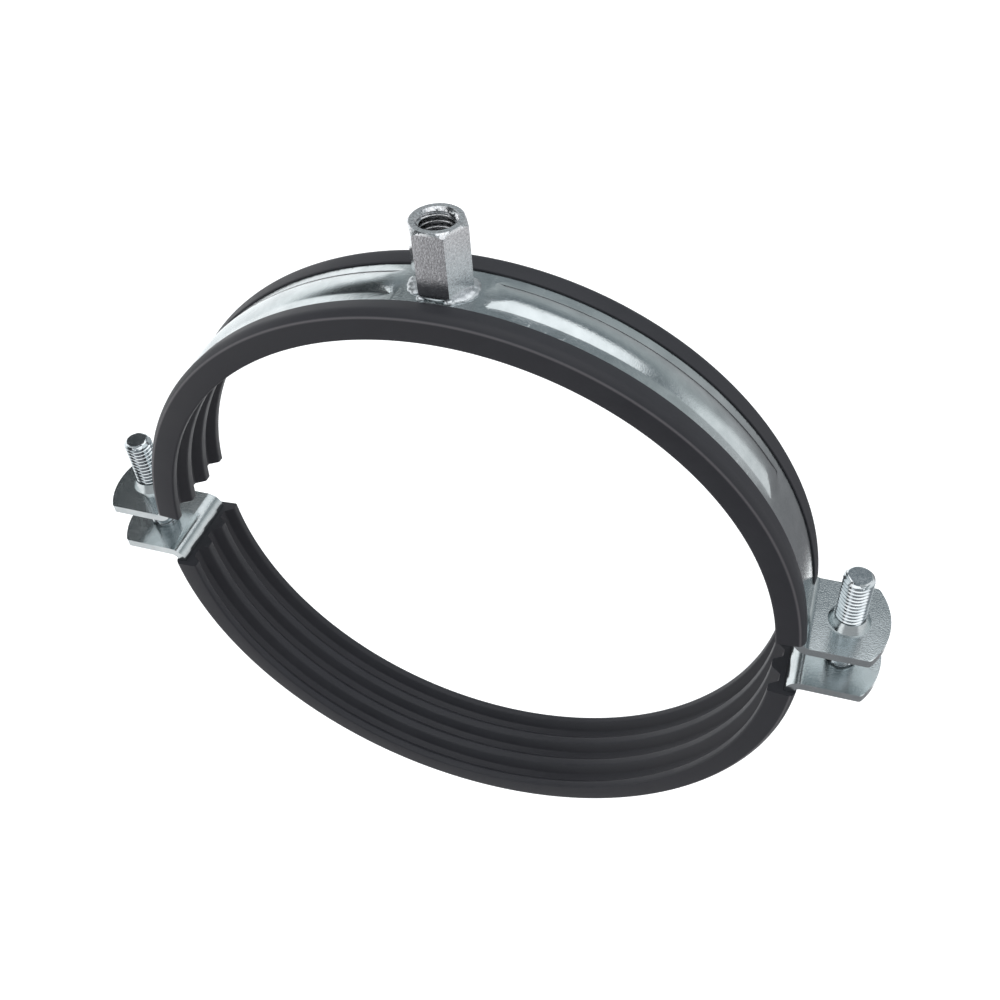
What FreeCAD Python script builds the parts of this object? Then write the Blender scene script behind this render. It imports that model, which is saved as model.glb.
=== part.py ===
import FreeCAD, Part
import math
import os

import Sketcher

# Rubber lined pipe clamp in two halves, in millimetres.
# The origin is the centre of the pipe seat in the upper half. +Y runs along the pipe,
# +Z up the axis of the hanger nut and +X across to the right ear.
# Each half is drawn as an upper half. The lower one is turned over and stands open by half_drop.

SIZES = {
    # Rubber lining
    "seat_radius": 87.2,
    "rib_height": 2.7,
    "groove_mouth": 6.3,
    "groove_floor": 2.4,
    "groove_pitch": 8.67,
    "corner_bevel_width": 0.5,
    "web_thickness": 1.55,
    "side_wall": 1.5,
    "lip_reach": 4.7,
    "lip_shoulder_inset": 1.6,
    "lip_height": 1.0,
    "lip_crease_drop": 0.45,
    "lip_tip_thickness": 0.4,
    "lining_clearance": 0.05,
    "lining_end_angle": 4.75,
    # Steel strap and its ears
    "strap_width": 25.0,
    "strap_thickness": 2.5,
    "bend_radius": 2.0,
    "ear_height": 3.25,
    "ear_edge_distance": 10.5,
    "ear_end_bulge": 4.0,
    "ear_corner_radius": 1.2,
    "bead_width": 15.0,
    "bead_height": 1.0,
    "bead_ear_angle": 35.6,
    "bead_nut_distance": 18.26,
    # Clamping screws
    "screw_diameter": 8.0,
    "screw_length": 35.0,
    "screw_offset": 10.3,
    "screw_point_chamfer": 1.0,
    "head_width": 13.0,
    "head_height": 5.3,
    "slot_width": 1.6,
    "slot_depth": 2.0,
    "head_clearance": 0.1,
    "thread_clearance": 0.05,
    "hole_clearance": 0.5,
    "collar_wall": 1.0,
    "collar_height": 0.8,
    # Hanger nut and its weld
    "nut_width": 13.0,
    "nut_height": 17.7,
    "nut_wall": 2.25,
    "nut_mouth_chamfer": 0.8,
    "corner_bevel": 0.2,
    "side_weld_radius": 1.9,
    "corner_weld_radius": 1.1,
    "weld_taper": 0.6,
    "weld_height": 1.2,
    "weld_depth": 0.5,
    "weld_reach": 0.2,
    # How far the lower half hangs below the place where both seats lie on one circle
    "half_drop": 6.0,
}

# Lengths that follow from the sizes, as expressions on the sheet
STRAP_INNER = "(Sizes.seat_radius + Sizes.rib_height + Sizes.web_thickness + Sizes.lining_clearance)"
STRAP_OUTER = "(%s + Sizes.strap_thickness)" % STRAP_INNER
STRAP_MIDDLE = "(%s + Sizes.strap_thickness / 2)" % STRAP_INNER
EAR_TOP = "(Sizes.ear_height + Sizes.strap_thickness)"
HALF_WIDTH = "(Sizes.strap_width / 2)"
SCREW_X = "(%s + Sizes.screw_offset)" % STRAP_OUTER
EAR_REACH = "(%s + Sizes.ear_edge_distance)" % SCREW_X
EAR_END_RADIUS = "((%s ^ 2 + Sizes.ear_end_bulge ^ 2) / (2 * Sizes.ear_end_bulge))" % HALF_WIDTH
SCREW_RADIUS = "(Sizes.screw_diameter / 2)"
TAPPED_RADIUS = "(%s + Sizes.thread_clearance)" % SCREW_RADIUS
CLEAR_RADIUS = "(%s + Sizes.hole_clearance)" % SCREW_RADIUS
COLLAR_RADIUS = "(%s + Sizes.collar_wall)" % TAPPED_RADIUS
BEAD_RADIUS = "((Sizes.bead_width ^ 2 / 4 + Sizes.bead_height ^ 2) / (2 * Sizes.bead_height))"
BEAD_CENTRE = "(%s + Sizes.bead_height - %s)" % (STRAP_OUTER, BEAD_RADIUS)
BEAD_NUT_ANGLE = "(acos(Sizes.bead_nut_distance / %s) / 1 deg)" % STRAP_OUTER
RIGHT_BEAD = ("Sizes.bead_ear_angle", BEAD_NUT_ANGLE)
LEFT_BEAD = ("180 - %s" % BEAD_NUT_ANGLE, "180 - Sizes.bead_ear_angle")
LONG_BEAD = ("Sizes.bead_ear_angle", "180 - Sizes.bead_ear_angle")
NUT_TOP = "(%s + Sizes.nut_height)" % STRAP_OUTER
NUT_BORE_RADIUS = "(Sizes.nut_width / 2 - Sizes.nut_wall)"
LINING_HALF = "(%s + Sizes.lining_clearance + Sizes.side_wall)" % HALF_WIDTH

# Ratio of a hexagon's width across its corners to its width across its flats
CORNER_RATIO = 2 / math.sqrt(3)
# How far a cutting outline runs past the material that it cuts
CUT_MARGIN = 1.0
TOLERANCE = 1e-4
X_AXIS = FreeCAD.Vector(1, 0, 0)
Y_AXIS = FreeCAD.Vector(0, 1, 0)
Z_AXIS = FreeCAD.Vector(0, 0, 1)

doc = FreeCAD.newDocument("PipeClamp")
sheet = doc.addObject("Spreadsheet::Sheet", "Sizes")
for row, (alias, value) in enumerate(SIZES.items(), start=1):
    sheet.set("A%d" % row, alias)
    sheet.set("B%d" % row, str(value))
    sheet.setAlias("B%d" % row, alias)
doc.recompute()


def number(expression):
    """The value of an expression on the sheet."""
    return float(sheet.evalExpression(str(expression)))


def origin_feature(body, role):
    """One of a body's own origin planes or axes."""
    return next(item for item in body.Origin.OriginFeatures if item.Role == role)


def new_sketch(body, name, plane, height="0"):
    """An empty sketch on an origin plane of the body, or parallel to it at a height."""
    sketch = body.newObject("Sketcher::SketchObject", name)
    sketch.AttachmentSupport = [(origin_feature(body, plane), "")]
    sketch.MapMode = "FlatFace"
    sketch.setExpression("AttachmentOffset.Base.z", height)
    return sketch


def drive(sketch, kind, elements, expression):
    """A dimension of the sketch that follows the sheet."""
    index = sketch.addConstraint(Sketcher.Constraint(kind, *elements, number(expression)))
    sketch.setExpression("Constraints[%d]" % index, expression)


def place_point(sketch, element, point, x_expression, y_expression):
    """Dimension an end of an element from the sketch's origin, in the directions that are given."""
    if x_expression is not None:
        drive(sketch, "DistanceX", (-1, 1, element, point), x_expression)
    if y_expression is not None:
        drive(sketch, "DistanceY", (-1, 1, element, point), y_expression)


def join(sketch, first, first_point, second, second_point):
    sketch.addConstraint(Sketcher.Constraint("Coincident", first, first_point, second, second_point))


def draw_polygon(sketch, corners):
    """A closed outline through corners, each an (x, y) pair of expressions."""
    places = [FreeCAD.Vector(number(x), number(y), 0) for x, y in corners]
    lines = []
    for start, end in zip(places, places[1:] + places[:1]):
        lines.append(sketch.addGeometry(Part.LineSegment(start, end), False))
    for line, (x, y) in zip(lines, corners):
        place_point(sketch, line, 1, x, y)
    for line, following in zip(lines, lines[1:] + lines[:1]):
        join(sketch, line, 2, following, 1)


def draw_circle(sketch, x_expression, radius_expression):
    """A circle on the sketch's horizontal axis."""
    centre = FreeCAD.Vector(number(x_expression), 0, 0)
    circle = sketch.addGeometry(Part.Circle(centre, Z_AXIS, number(radius_expression)), False)
    place_point(sketch, circle, 3, x_expression, "0")
    drive(sketch, "Radius", (circle,), radius_expression)


def draw_hexagon(sketch, width_expression):
    """A hexagon about the origin with flats facing the sketch's vertical axis."""
    corners = []
    for step in range(6):
        angle = math.radians(60 * step)
        reach = "%s / 2 * %.9f" % (width_expression, CORNER_RATIO)
        corners.append(("%s * %.9f" % (reach, math.cos(angle)), "%s * %.9f" % (reach, math.sin(angle))))
    draw_polygon(sketch, corners)


def edge_names(feature, wanted):
    """Names of the feature's edges that pass a test."""
    return ["Edge%d" % count for count, edge in enumerate(feature.Shape.Edges, start=1) if wanted(edge)]


def dress(body, kind, name, wanted, size_name, expression):
    """A fillet or chamfer on the edges of the body's last feature that pass a test."""
    doc.recompute()
    base = body.Tip
    names = edge_names(base, wanted)
    if not names:
        raise RuntimeError("%s: no edge found" % name)
    feature = body.newObject(kind, name)
    feature.Base = (base, names)
    feature.setExpression(size_name, expression)
    return feature


def fillet(body, name, wanted, expression):
    return dress(body, "PartDesign::Fillet", name, wanted, "Radius", expression)


def chamfer(body, name, wanted, expression):
    return dress(body, "PartDesign::Chamfer", name, wanted, "Size", expression)


def close_to(value, expression):
    return abs(value - number(expression)) < TOLERANCE


def is_circle(edge, radius_expression):
    """Whether an edge is a circle of this radius, or an arc of one."""
    return isinstance(edge.Curve, Part.Circle) and close_to(edge.Curve.Radius, radius_expression)


def ear_bend_edge(height_expression, radius_expression):
    """A test for the sharp edge where an arc of the strap meets a flat face of the ear."""
    def wanted(edge):
        centre = edge.CenterOfMass
        across = math.sqrt(number(radius_expression) ** 2 - number(height_expression) ** 2)
        return close_to(centre.z, height_expression) and abs(abs(centre.x) - across) < TOLERANCE
    return wanted


def draw_strap_side(sketch):
    """Side view of a strap half: a half ring with a flat ear at each end, its bends still sharp."""
    arcs = {}
    for key, radius, height in (("inner", STRAP_INNER, "Sizes.ear_height"), ("outer", STRAP_OUTER, EAR_TOP)):
        start = math.asin(number(height) / number(radius))
        circle = Part.Circle(FreeCAD.Vector(0, 0, 0), Z_AXIS, number(radius))
        arc = sketch.addGeometry(Part.ArcOfCircle(circle, start, math.pi - start), False)
        join(sketch, arc, 3, -1, 1)
        drive(sketch, "Radius", (arc,), radius)
        arcs[key] = arc
    inner = arcs["inner"]
    outer = arcs["outer"]
    for side, arc_end in ((1, 1), (-1, 2)):
        reach = "%d * %s" % (side, EAR_REACH)
        inner_x = side * math.sqrt(number(STRAP_INNER) ** 2 - number("Sizes.ear_height") ** 2)
        outer_x = side * math.sqrt(number(STRAP_OUTER) ** 2 - number(EAR_TOP) ** 2)
        corners = [
            FreeCAD.Vector(inner_x, number("Sizes.ear_height"), 0),
            FreeCAD.Vector(number(reach), number("Sizes.ear_height"), 0),
            FreeCAD.Vector(number(reach), number(EAR_TOP), 0),
            FreeCAD.Vector(outer_x, number(EAR_TOP), 0),
        ]
        under, end, top = [
            sketch.addGeometry(Part.LineSegment(first, second), False)
            for first, second in zip(corners, corners[1:])
        ]
        join(sketch, inner, arc_end, under, 1)
        join(sketch, under, 2, end, 1)
        join(sketch, end, 2, top, 1)
        join(sketch, top, 2, outer, arc_end)
        place_point(sketch, under, 1, None, "Sizes.ear_height")
        place_point(sketch, end, 1, reach, "Sizes.ear_height")
        place_point(sketch, end, 2, reach, EAR_TOP)
        place_point(sketch, top, 2, None, EAR_TOP)


def draw_ear_trim(sketch):
    """Plan view of what is cut off beyond the bowed end of each ear."""
    edge_y = number(HALF_WIDTH) + CUT_MARGIN
    radius = number(EAR_END_RADIUS)
    for side in (1, -1):
        centre_x = "%d * (%s - %s)" % (side, EAR_REACH, EAR_END_RADIUS)
        beyond = "%d * (%s + %s)" % (side, EAR_REACH, CUT_MARGIN)
        swing = math.asin(edge_y / radius)
        middle = 0.0 if side == 1 else math.pi
        circle = Part.Circle(FreeCAD.Vector(number(centre_x), 0, 0), Z_AXIS, radius)
        arc = sketch.addGeometry(Part.ArcOfCircle(circle, middle - swing, middle + swing), False)
        place_point(sketch, arc, 3, centre_x, "0")
        drive(sketch, "Radius", (arc,), EAR_END_RADIUS)
        arc_start = sketch.getPoint(arc, 1)
        arc_end = sketch.getPoint(arc, 2)
        far_end = FreeCAD.Vector(number(beyond), arc_end.y, 0)
        far_start = FreeCAD.Vector(number(beyond), arc_start.y, 0)
        places = [arc_end, far_end, far_start, arc_start]
        lines = [
            sketch.addGeometry(Part.LineSegment(first, second), False)
            for first, second in zip(places, places[1:])
        ]
        join(sketch, arc, 2, lines[0], 1)
        join(sketch, lines[0], 2, lines[1], 1)
        join(sketch, lines[1], 2, lines[2], 1)
        join(sketch, lines[2], 2, arc, 1)
        place_point(sketch, arc, 1, None, "%d * (%s + %s)" % (-side, HALF_WIDTH, CUT_MARGIN))
        place_point(sketch, arc, 2, None, "%d * (%s + %s)" % (side, HALF_WIDTH, CUT_MARGIN))
        place_point(sketch, lines[1], 1, beyond, "%d * (%s + %s)" % (side, HALF_WIDTH, CUT_MARGIN))
        place_point(sketch, lines[1], 2, beyond, "%d * (%s + %s)" % (-side, HALF_WIDTH, CUT_MARGIN))


def strap_blank(name, tapped):
    """A strap half before its bead is pressed in: bent strip, bowed ear ends and screw holes."""
    body = doc.addObject("PartDesign::Body", name)

    side_view = new_sketch(body, name + "SideView", "XZ_Plane")
    draw_strap_side(side_view)
    strip = body.newObject("PartDesign::Pad", name + "Strip")
    strip.Profile = side_view
    strip.Midplane = True
    strip.setExpression("Length", "Sizes.strap_width")

    fillet(body, name + "InnerBend", ear_bend_edge(EAR_TOP, STRAP_OUTER), "Sizes.bend_radius")
    fillet(body, name + "OuterBend", ear_bend_edge("Sizes.ear_height", STRAP_INNER),
           "Sizes.bend_radius + Sizes.strap_thickness")

    plan_view = new_sketch(body, name + "EarPlan", "XY_Plane")
    draw_ear_trim(plan_view)
    trim = body.newObject("PartDesign::Pocket", name + "EarTrim")
    trim.Profile = plan_view
    trim.Type = "ThroughAll"
    trim.Reversed = True

    def ear_corner(edge):
        centre = edge.CenterOfMass
        corner_x = number(EAR_REACH) - number("Sizes.ear_end_bulge")
        upright = abs(edge.tangentAt(edge.FirstParameter).z) > 0.999
        return upright and abs(abs(centre.x) - corner_x) < TOLERANCE and close_to(abs(centre.y), HALF_WIDTH)

    fillet(body, name + "EarCorner", ear_corner, "Sizes.ear_corner_radius")

    if tapped:
        # The tapped hole is drawn up into a low collar
        ear_middle = "Sizes.ear_height + Sizes.strap_thickness / 2"
        rims = new_sketch(body, name + "CollarRims", "XY_Plane", ear_middle)
        for side in (1, -1):
            draw_circle(rims, "%d * %s" % (side, SCREW_X), COLLAR_RADIUS)
        collars = body.newObject("PartDesign::Pad", name + "Collars")
        collars.Profile = rims
        collars.setExpression("Length", "Sizes.strap_thickness / 2 + Sizes.collar_height")

    hole_radius = TAPPED_RADIUS if tapped else CLEAR_RADIUS
    hole_rims = new_sketch(body, name + "HoleRims", "XY_Plane")
    for side in (1, -1):
        draw_circle(hole_rims, "%d * %s" % (side, SCREW_X), hole_radius)
    holes = body.newObject("PartDesign::Pocket", name + "Holes")
    holes.Profile = hole_rims
    holes.Type = "ThroughAll"
    holes.Reversed = True
    doc.recompute()
    return body


def bead_form(name, spans, radius_expression, ball_ends):
    """A rounded bar that follows the strap between each pair of angles, with ball ends or flat ones."""
    pieces = []
    for count, (first_angle, last_angle) in enumerate(spans, start=1):
        bar = doc.addObject("Part::Torus", "%sBar%d" % (name, count))
        bar.setExpression("Radius1", BEAD_CENTRE)
        bar.setExpression("Radius2", radius_expression)
        bar.setExpression("Angle3", "(%s) - (%s)" % (last_angle, first_angle))
        upright = "rotation(vector(1; 0; 0); 90)"
        start = "rotation(vector(0; 0; 1); %s)" % first_angle
        bar.setExpression("Placement", "placement(vector(0; 0; 0); %s * %s)" % (upright, start))
        pieces.append(bar)
        if not ball_ends:
            continue
        for end, angle in (("First", first_angle), ("Last", last_angle)):
            ball = doc.addObject("Part::Sphere", "%s%s%d" % (name, end, count))
            ball.setExpression("Radius", radius_expression)
            ball.setExpression("Placement.Base.x", "%s * cos((%s) * 1 deg)" % (BEAD_CENTRE, angle))
            ball.setExpression("Placement.Base.z", "%s * sin((%s) * 1 deg)" % (BEAD_CENTRE, angle))
            pieces.append(ball)
    if len(pieces) == 1:
        return pieces[0]
    form = doc.addObject("Part::MultiFuse", name)
    form.Shapes = pieces
    return form


def beaded_strap(label, blank, spans):
    """The strap half with its bead: raised outside and hollow inside by the same height."""
    name = blank.Name
    outside = doc.addObject("Part::Cylinder", name + "Outside")
    outside.setExpression("Radius", "%s + 2 * Sizes.bead_height" % STRAP_OUTER)
    core = doc.addObject("Part::Cylinder", name + "Core")
    core.setExpression("Radius", STRAP_MIDDLE)
    for cylinder in (outside, core):
        cylinder.setExpression("Height", "2 * Sizes.strap_width")
        cylinder.Placement.Rotation = FreeCAD.Rotation(X_AXIS, 90)
        cylinder.setExpression("Placement.Base.y", "Sizes.strap_width")
    ring = doc.addObject("Part::Cut", name + "Ring")
    ring.Base = outside
    ring.Tool = core

    crown = doc.addObject("Part::Common", name + "Crown")
    crown.Base = bead_form(name + "Outer", spans, BEAD_RADIUS, True)
    crown.Tool = ring
    raised = doc.addObject("Part::Fuse", name + "Raised")
    raised.Base = blank
    raised.Tool = crown
    strap = doc.addObject("Part::Cut", name + "Beaded")
    strap.Base = raised
    strap.Tool = bead_form(name + "Inner", spans, "%s - Sizes.strap_thickness" % BEAD_RADIUS, False)
    strap.Label = label
    return strap


def lining(label):
    """A rubber channel with ribs inside and lips that wrap the edges of the strap."""
    body = doc.addObject("PartDesign::Body", label.title().replace("_", ""))
    body.Label = label
    channel_y = "(%s + Sizes.lining_clearance)" % HALF_WIDTH
    tip_y = "(%s - Sizes.lip_reach)" % HALF_WIDTH
    channel_floor = "(%s - Sizes.lining_clearance)" % STRAP_INNER
    under_lip = "(%s + Sizes.lining_clearance)" % STRAP_OUTER
    shoulder_y = "(%s - Sizes.lip_shoulder_inset)" % LINING_HALF
    lip_top = "(%s + Sizes.lip_height)" % STRAP_OUTER
    crease = "(%s - Sizes.lip_crease_drop)" % STRAP_OUTER
    bevel = "Sizes.corner_bevel_width"
    right_side = [
        ("(%s - %s)" % (LINING_HALF, bevel), "Sizes.seat_radius"),
        (LINING_HALF, "(Sizes.seat_radius + %s)" % bevel),
        (LINING_HALF, crease),
        (shoulder_y, lip_top),
        (tip_y, "(%s + Sizes.lip_tip_thickness)" % under_lip),
        (tip_y, under_lip),
        (channel_y, under_lip),
        (channel_y, channel_floor),
    ]
    left_side = [("-1 * %s" % y, z) for y, z in reversed(right_side)]
    section = new_sketch(body, body.Name + "Section", "YZ_Plane")
    draw_polygon(section, right_side + left_side)
    channel = body.newObject("PartDesign::Revolution", body.Name + "Channel")
    channel.Profile = section
    channel.ReferenceAxis = (origin_feature(body, "Y_Axis"), [""])
    channel.Midplane = True
    channel.setExpression("Angle", "180 - 2 * Sizes.lining_end_angle")

    # One groove between two ribs, with walls that lean out to its mouth
    groove_section = new_sketch(body, body.Name + "GrooveSection", "YZ_Plane")
    lean = "(Sizes.groove_mouth - Sizes.groove_floor) / 2 / Sizes.rib_height"
    levels = [
        ("(Sizes.groove_floor / 2)", "(Sizes.seat_radius + Sizes.rib_height)"),
        ("(Sizes.groove_mouth / 2 + %s * %s)" % (CUT_MARGIN, lean), "(Sizes.seat_radius - %s)" % CUT_MARGIN),
    ]
    middle = "-1 * Sizes.groove_pitch"
    right_wall = [("%s + %s" % (middle, half), z) for half, z in levels]
    left_wall = [("%s - %s" % (middle, half), z) for half, z in reversed(levels)]
    draw_polygon(groove_section, right_wall + left_wall)
    groove = body.newObject("PartDesign::Groove", body.Name + "Groove")
    groove.Profile = groove_section
    groove.ReferenceAxis = (origin_feature(body, "Y_Axis"), [""])
    groove.Midplane = True
    groove.Angle = 180
    doc.recompute()
    grooves = body.newObject("PartDesign::LinearPattern", body.Name + "Grooves")
    grooves.Originals = [groove]
    grooves.Direction = (origin_feature(body, "Y_Axis"), [""])
    grooves.setExpression("Length", "2 * Sizes.groove_pitch")
    grooves.Occurrences = 3
    body.Tip = grooves
    doc.recompute()
    return body


def bevel_corners(body, name, width_expression, end_expression, upward):
    """Turn the corners of a hexagon's end to a cone, as on a nut or a screw head."""
    direction = 1 if upward else -1
    outer = "(%s / 2 * %.9f + %s)" % (width_expression, CORNER_RATIO, CUT_MARGIN)
    inner = "(%s / 2 - Sizes.corner_bevel)" % width_expression
    beyond = "%s + %d * (%s - %s)" % (end_expression, direction, outer, inner)
    below = "%s - %d * (%s - %s)" % (end_expression, direction, outer, inner)
    section = new_sketch(body, name + "Section", "XZ_Plane")
    draw_polygon(section, [(inner, end_expression), (outer, below), (outer, beyond), (inner, beyond)])
    cone = body.newObject("PartDesign::Groove", name)
    cone.Profile = section
    cone.ReferenceAxis = (origin_feature(body, "Z_Axis"), [""])
    cone.Angle = 360


def hanger_nut():
    """A tall hexagon nut that stands on the crown of the strap, with both ends bevelled."""
    body = doc.addObject("PartDesign::Body", "HangerNut")
    body.Label = "hanger_nut"
    plan = new_sketch(body, "NutPlan", "XY_Plane", STRAP_OUTER)
    draw_hexagon(plan, "Sizes.nut_width")
    prism = body.newObject("PartDesign::Pad", "NutPrism")
    prism.Profile = plan
    prism.setExpression("Length", "Sizes.nut_height")
    bevel_corners(body, "NutBevel", "Sizes.nut_width", NUT_TOP, True)
    bevel_corners(body, "FootBevel", "Sizes.nut_width", STRAP_OUTER, False)

    bore_rim = new_sketch(body, "BoreRim", "XY_Plane")
    draw_circle(bore_rim, "0", NUT_BORE_RADIUS)
    bore = body.newObject("PartDesign::Pocket", "NutBore")
    bore.Profile = bore_rim
    bore.Type = "ThroughAll"
    bore.Reversed = True

    def mouth(edge):
        return is_circle(edge, NUT_BORE_RADIUS) and close_to(edge.CenterOfMass.z, NUT_TOP)

    chamfer(body, "NutMouth", mouth, "Sizes.nut_mouth_chamfer")
    doc.recompute()
    return body


def nut_weld(nut, strap, rubber):
    """A lump of weld metal at each corner of the nut's foot, that stops at the lining's lips."""
    lumps = []
    for step in range(6):
        angle = 60 * step
        radius = "Sizes.corner_weld_radius" if angle % 180 else "Sizes.side_weld_radius"
        lump = doc.addObject("Part::Cone", "WeldLump%d" % (step + 1))
        lump.setExpression("Radius1", radius)
        lump.setExpression("Radius2", "%s - Sizes.weld_taper" % radius)
        lump.setExpression("Height", "Sizes.weld_height + Sizes.weld_depth")
        lump.Placement.Rotation = FreeCAD.Rotation(Z_AXIS, angle)
        reach = "(Sizes.nut_width / 2 * %.9f + Sizes.weld_reach)" % CORNER_RATIO
        lump_x = "(%s * cos(%d deg))" % (reach, angle)
        strap_z = "sqrt(%s ^ 2 - %s ^ 2)" % (STRAP_OUTER, lump_x)
        lump.setExpression("Placement.Base.x", lump_x)
        lump.setExpression("Placement.Base.y", "%s * sin(%d deg)" % (reach, angle))
        lump.setExpression("Placement.Base.z", "%s - Sizes.weld_depth" % strap_z)
        lumps.append(lump)
    all_lumps = doc.addObject("Part::MultiFuse", "WeldLumps")
    all_lumps.Shapes = lumps
    beside_nut = doc.addObject("Part::Cut", "WeldBesideNut")
    beside_nut.Base = all_lumps
    beside_nut.Tool = nut
    above_strap = doc.addObject("Part::Cut", "WeldAboveStrap")
    above_strap.Base = beside_nut
    above_strap.Tool = strap
    weld = doc.addObject("Part::Cut", "NutWeld")
    weld.Base = above_strap
    weld.Tool = rubber
    weld.Label = "nut_weld"
    return weld


def clamp_screw(label, side):
    """A hexagon head screw, pushed up through the lower ear into the tapped upper ear."""
    body = doc.addObject("PartDesign::Body", label.title().replace("_", ""))
    body.Label = label
    head_plan = new_sketch(body, body.Name + "HeadPlan", "XY_Plane")
    draw_hexagon(head_plan, "Sizes.head_width")
    head = body.newObject("PartDesign::Pad", body.Name + "Head")
    head.Profile = head_plan
    head.Reversed = True
    head.setExpression("Length", "Sizes.head_height")
    bevel_corners(body, body.Name + "HeadBevel", "Sizes.head_width", "-1 * Sizes.head_height", False)

    slot_plan = new_sketch(body, body.Name + "SlotPlan", "XY_Plane", "-1 * Sizes.head_height")
    slot_x = "Sizes.head_width / 2 * %.9f + %s" % (CORNER_RATIO, CUT_MARGIN)
    slot_y = "Sizes.slot_width / 2"
    draw_polygon(slot_plan, [
        ("-1 * (%s)" % slot_x, "-1 * %s" % slot_y),
        (slot_x, "-1 * %s" % slot_y),
        (slot_x, slot_y),
        ("-1 * (%s)" % slot_x, slot_y),
    ])
    slot = body.newObject("PartDesign::Pocket", body.Name + "Slot")
    slot.Profile = slot_plan
    slot.Reversed = True
    slot.setExpression("Length", "Sizes.slot_depth")

    shank_rim = new_sketch(body, body.Name + "ShankRim", "XY_Plane")
    draw_circle(shank_rim, "0", SCREW_RADIUS)
    shank = body.newObject("PartDesign::Pad", body.Name + "Shank")
    shank.Profile = shank_rim
    shank.setExpression("Length", "Sizes.screw_length")

    def point(edge):
        return is_circle(edge, SCREW_RADIUS) and close_to(edge.CenterOfMass.z, "Sizes.screw_length")

    chamfer(body, body.Name + "Point", point, "Sizes.screw_point_chamfer")
    body.setExpression("Placement.Base.x", "%d * %s" % (side, SCREW_X))
    body.setExpression("Placement.Base.z", "-1 * (Sizes.half_drop + %s + Sizes.head_clearance)" % EAR_TOP)
    doc.recompute()
    return body


def turn_over(piece):
    """Turn a piece that is drawn as an upper one into its place in the lower half."""
    piece.Placement = FreeCAD.Placement(FreeCAD.Vector(0, 0, 0), FreeCAD.Rotation(Y_AXIS, 180))
    piece.setExpression("Placement.Base.z", "-1 * Sizes.half_drop")
    doc.recompute()


upper_strap = beaded_strap("upper_strap", strap_blank("UpperBlank", True), [RIGHT_BEAD, LEFT_BEAD])
lower_strap = beaded_strap("lower_strap", strap_blank("LowerBlank", False), [LONG_BEAD])
turn_over(lower_strap)
upper_lining = lining("upper_lining")
lower_lining = lining("lower_lining")
turn_over(lower_lining)
nut = hanger_nut()
weld = nut_weld(nut, upper_strap, upper_lining)
left_screw = clamp_screw("left_screw", -1)
right_screw = clamp_screw("right_screw", 1)
doc.recompute()

for item in doc.Objects:
    if "Invalid" in item.State or "Error" in item.State:
        raise RuntimeError("%s failed: %s" % (item.Label, item.State))

sub_parts = [upper_strap, lower_strap, upper_lining, lower_lining, nut, weld, left_screw, right_screw]
for sub_part in sub_parts:
    if sub_part.Shape.isNull() or not sub_part.Shape.isValid() or not sub_part.Shape.Solids:
        raise RuntimeError("%s has no valid solid" % sub_part.Label)

os.makedirs("parts", exist_ok=True)
for sub_part in sub_parts:
    sub_part.Shape.exportStep("parts/%s.step" % sub_part.Label)
    solids = len(sub_part.Shape.Solids)
    print("%s: %d solid(s), %.1f mm3" % (sub_part.Label, solids, sub_part.Shape.Volume))
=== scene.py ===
import math

import bpy
from mathutils import Euler, Matrix, Vector


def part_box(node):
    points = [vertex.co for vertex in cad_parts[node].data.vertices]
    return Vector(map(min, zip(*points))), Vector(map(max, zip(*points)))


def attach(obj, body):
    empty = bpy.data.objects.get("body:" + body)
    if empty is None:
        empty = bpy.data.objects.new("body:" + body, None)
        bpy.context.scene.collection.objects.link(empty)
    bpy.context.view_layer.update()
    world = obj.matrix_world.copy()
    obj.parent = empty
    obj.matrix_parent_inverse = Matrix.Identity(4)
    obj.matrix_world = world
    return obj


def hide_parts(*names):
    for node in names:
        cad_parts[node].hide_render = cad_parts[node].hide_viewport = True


# Rubber lined pipe clamp, in metres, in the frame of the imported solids:
# +Y runs along the pipe, +Z up the hanger nut, and the origin is the upper half's seat centre.
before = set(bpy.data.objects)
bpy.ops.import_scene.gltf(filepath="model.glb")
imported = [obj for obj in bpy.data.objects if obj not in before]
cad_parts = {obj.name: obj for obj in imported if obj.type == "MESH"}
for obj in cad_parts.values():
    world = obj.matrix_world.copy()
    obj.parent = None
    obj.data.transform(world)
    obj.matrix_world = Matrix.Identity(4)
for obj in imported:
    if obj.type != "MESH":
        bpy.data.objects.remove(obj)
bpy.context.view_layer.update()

MM = 0.001

# Vertices closer than this are one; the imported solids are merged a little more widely
MERGE = 0.001 * MM
SOLID_MERGE = 0.002 * MM
# Edges that turn more than this, in degrees, are broken or shaded as edges
BROKEN_EDGE = 50
SHADED_EDGE = 20
LATHE_SIDES = 96

# Threads: steps a turn, width of the groove's floor, and how far the cutter stands off the metal
THREAD_STEPS = 64
THREAD_FLOOR = 0.2 * MM
THREAD_STAND_OFF = 0.05 * MM

# Clamping screws, M8, with the thread's start above the head's end
SCREW_PITCH = 1.25 * MM
SCREW_RADIUS = 4.0 * MM
SCREW_ROOT = 3.25 * MM
SCREW_GROOVE = 1.12 * MM
SCREW_THREAD_START = 6.5 * MM
SCREW_TURNS = 28

# Drawn collars of the upper ears
EAR_TOP = 5.75 * MM
COLLAR_FOOT = 5.6 * MM
COLLAR_TOP = 4.35 * MM
COLLAR_HOLE = 4.15 * MM
COLLAR_HEIGHT = 2.6 * MM
COLLAR_SUNK = 0.1 * MM

# Hanger nut, M10, with the thread's start above the nut's foot
NUT_PITCH = 1.5 * MM
NUT_BORE = 4.25 * MM
NUT_THREAD_DEPTH = 0.75 * MM
NUT_GROOVE = 1.16 * MM
NUT_THREAD_START = 1.0 * MM
NUT_TURNS = 12
NUT_EDGE_BREAK = 0.35 * MM

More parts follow.
